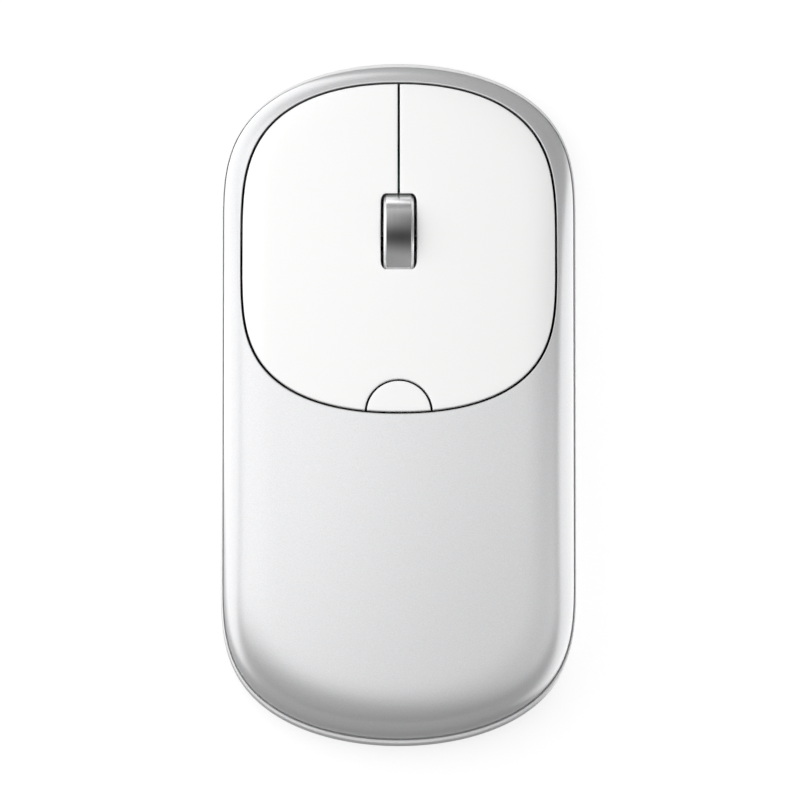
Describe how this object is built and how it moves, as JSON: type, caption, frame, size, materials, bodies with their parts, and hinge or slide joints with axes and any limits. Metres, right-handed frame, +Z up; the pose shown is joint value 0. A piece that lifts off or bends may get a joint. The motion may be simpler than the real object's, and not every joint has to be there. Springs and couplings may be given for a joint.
{
  "type": "computer mouse",
  "caption": "Slim wireless mouse: silver domed cover, white split key panel with metal scroll wheel and a half-round button, on a light base with glides, receiver bay and power slider.",
  "frame": {"origin": "centre of the footprint on the desk plane, under the glide pads", "axes": "+X to the user's right, +Y to the nose with the two keys, +Z up"},
  "size_m": [0.058, 0.1118, 0.0211],
  "materials": {
    "silver_paint": "satin metallic paint with a fine sparkle",
    "white_panel": "fine satin texture",
    "rim_plastic": "light silver, smooth",
    "black_plastic": "moulded matte black",
    "wheel_metal": "turned, satin, with polished chamfers",
    "plated_steel": "plated",
    "circuit_board": "green solder mask",
    "clear_lens": "clear moulded lens",
    "glide_pad": "low-friction fluoropolymer",
    "battery_foil": "laminated pouch foil",
    "foam_pad": "double-sided foam tape",
    "ivory_plastic": "natural acetal",
    "red_wire": "soft wire sheath",
    "black_wire": "soft wire sheath"
  },
  "bodies": {
    "root": {"base_shell": "rim_plastic", "top_cover": "silver_paint", "inner_frame": "black_plastic", "key_panel_root": "white_panel", "encoder_housing": "black_plastic", "main_board": "circuit_board", "left_switch_case": "black_plastic", "right_switch_case": "black_plastic", "wheel_switch_case": "plated_steel", "dpi_switch_case": "plated_steel", "sensor_chip": "black_plastic", "sensor_lens": "clear_lens", "radio_chip": "black_plastic", "charging_port": "plated_steel", "charging_port_tongue": "black_plastic", "power_switch_case": "plated_steel", "battery_cell": "battery_foil", "battery_pad": "foam_pad", "battery_socket": "ivory_plastic", "battery_plug": "ivory_plastic", "battery_wire_red": "red_wire", "battery_wire_black": "black_wire", "glide_front_left": "glide_pad", "glide_front_right": "glide_pad", "glide_rear_left": "glide_pad", "glide_rear_right": "glide_pad", "case_screw_left": "plated_steel", "case_screw_right": "plated_steel", "board_screw_left": "plated_steel", "board_screw_right": "plated_steel", "frame_screw_left": "plated_steel", "frame_screw_right": "plated_steel"},
    "left_key": {"left_key": "white_panel"},
    "right_key": {"right_key": "white_panel"},
    "left_switch_stem": {"left_switch_stem": "ivory_plastic"},
    "right_switch_stem": {"right_switch_stem": "ivory_plastic"},
    "dpi_button": {"dpi_button": "white_panel"},
    "dpi_switch_stem": {"dpi_switch_stem": "black_plastic"},
    "wheel_bush": {"axle_bush": "ivory_plastic"},
    "scroll_wheel": {"wheel_rim": "wheel_metal", "wheel_hub": "black_plastic", "encoder_rotor": "ivory_plastic"},
    "wheel_switch_stem": {"wheel_switch_stem": "black_plastic"},
    "power_slider": {"power_slider": "black_plastic"},
    "receiver": {"receiver_plug": "plated_steel", "receiver_tongue": "black_plastic", "receiver_grip": "black_plastic"}
  },
  "joints": [
    {"name": "left_key_press", "type": "hinge", "parent": "root", "child": "left_key", "pos_m": [0, 0.014, 0.0193], "axis": [-1, 0, 0], "range_deg": [0, 1.2]},
    {"name": "right_key_press", "type": "hinge", "parent": "root", "child": "right_key", "pos_m": [0, 0.014, 0.0193], "axis": [-1, 0, 0], "range_deg": [0, 1.2]},
    {"name": "left_stem_press", "type": "slide", "parent": "root", "child": "left_switch_stem", "axis": [0, 0, -1], "range_m": [0, 0.00045]},
    {"name": "right_stem_press", "type": "slide", "parent": "root", "child": "right_switch_stem", "axis": [0, 0, -1], "range_m": [0, 0.00045]},
    {"name": "dpi_button_press", "type": "slide", "parent": "root", "child": "dpi_button", "axis": [0, 0, -1], "range_m": [0, 0.0004]},
    {"name": "dpi_stem_press", "type": "slide", "parent": "root", "child": "dpi_switch_stem", "axis": [0, 0, -1], "range_m": [0, 0.00045]},
    {"name": "wheel_press", "type": "hinge", "parent": "root", "child": "wheel_bush", "pos_m": [-0.0067, 0.0254, 0.012], "axis": [0, 1, 0], "range_deg": [0, 1.5]},
    {"name": "wheel_spin", "type": "hinge", "parent": "wheel_bush", "child": "scroll_wheel", "pos_m": [0, 0.0254, 0.012], "axis": [1, 0, 0], "continuous": true},
    {"name": "wheel_stem_press", "type": "slide", "parent": "root", "child": "wheel_switch_stem", "axis": [0, 0, -1], "range_m": [0, 0.0005]},
    {"name": "power_slide", "type": "slide", "parent": "root", "child": "power_slider", "axis": [0, 1, 0], "range_m": [-0.002, 0.002]},
    {"name": "receiver_slide", "type": "slide", "parent": "root", "child": "receiver", "axis": [0, 0, -1], "range_m": [0, 0.014]}
  ],
  "couplings": [
    {"joint": "left_stem_press", "follows": "left_key_press", "m_per_rad": 0.0202},
    {"joint": "right_stem_press", "follows": "right_key_press", "m_per_rad": 0.0202},
    {"joint": "dpi_stem_press", "follows": "dpi_button_press", "ratio": 1},
    {"joint": "wheel_stem_press", "follows": "wheel_press", "m_per_rad": 0.0129}
  ]
}
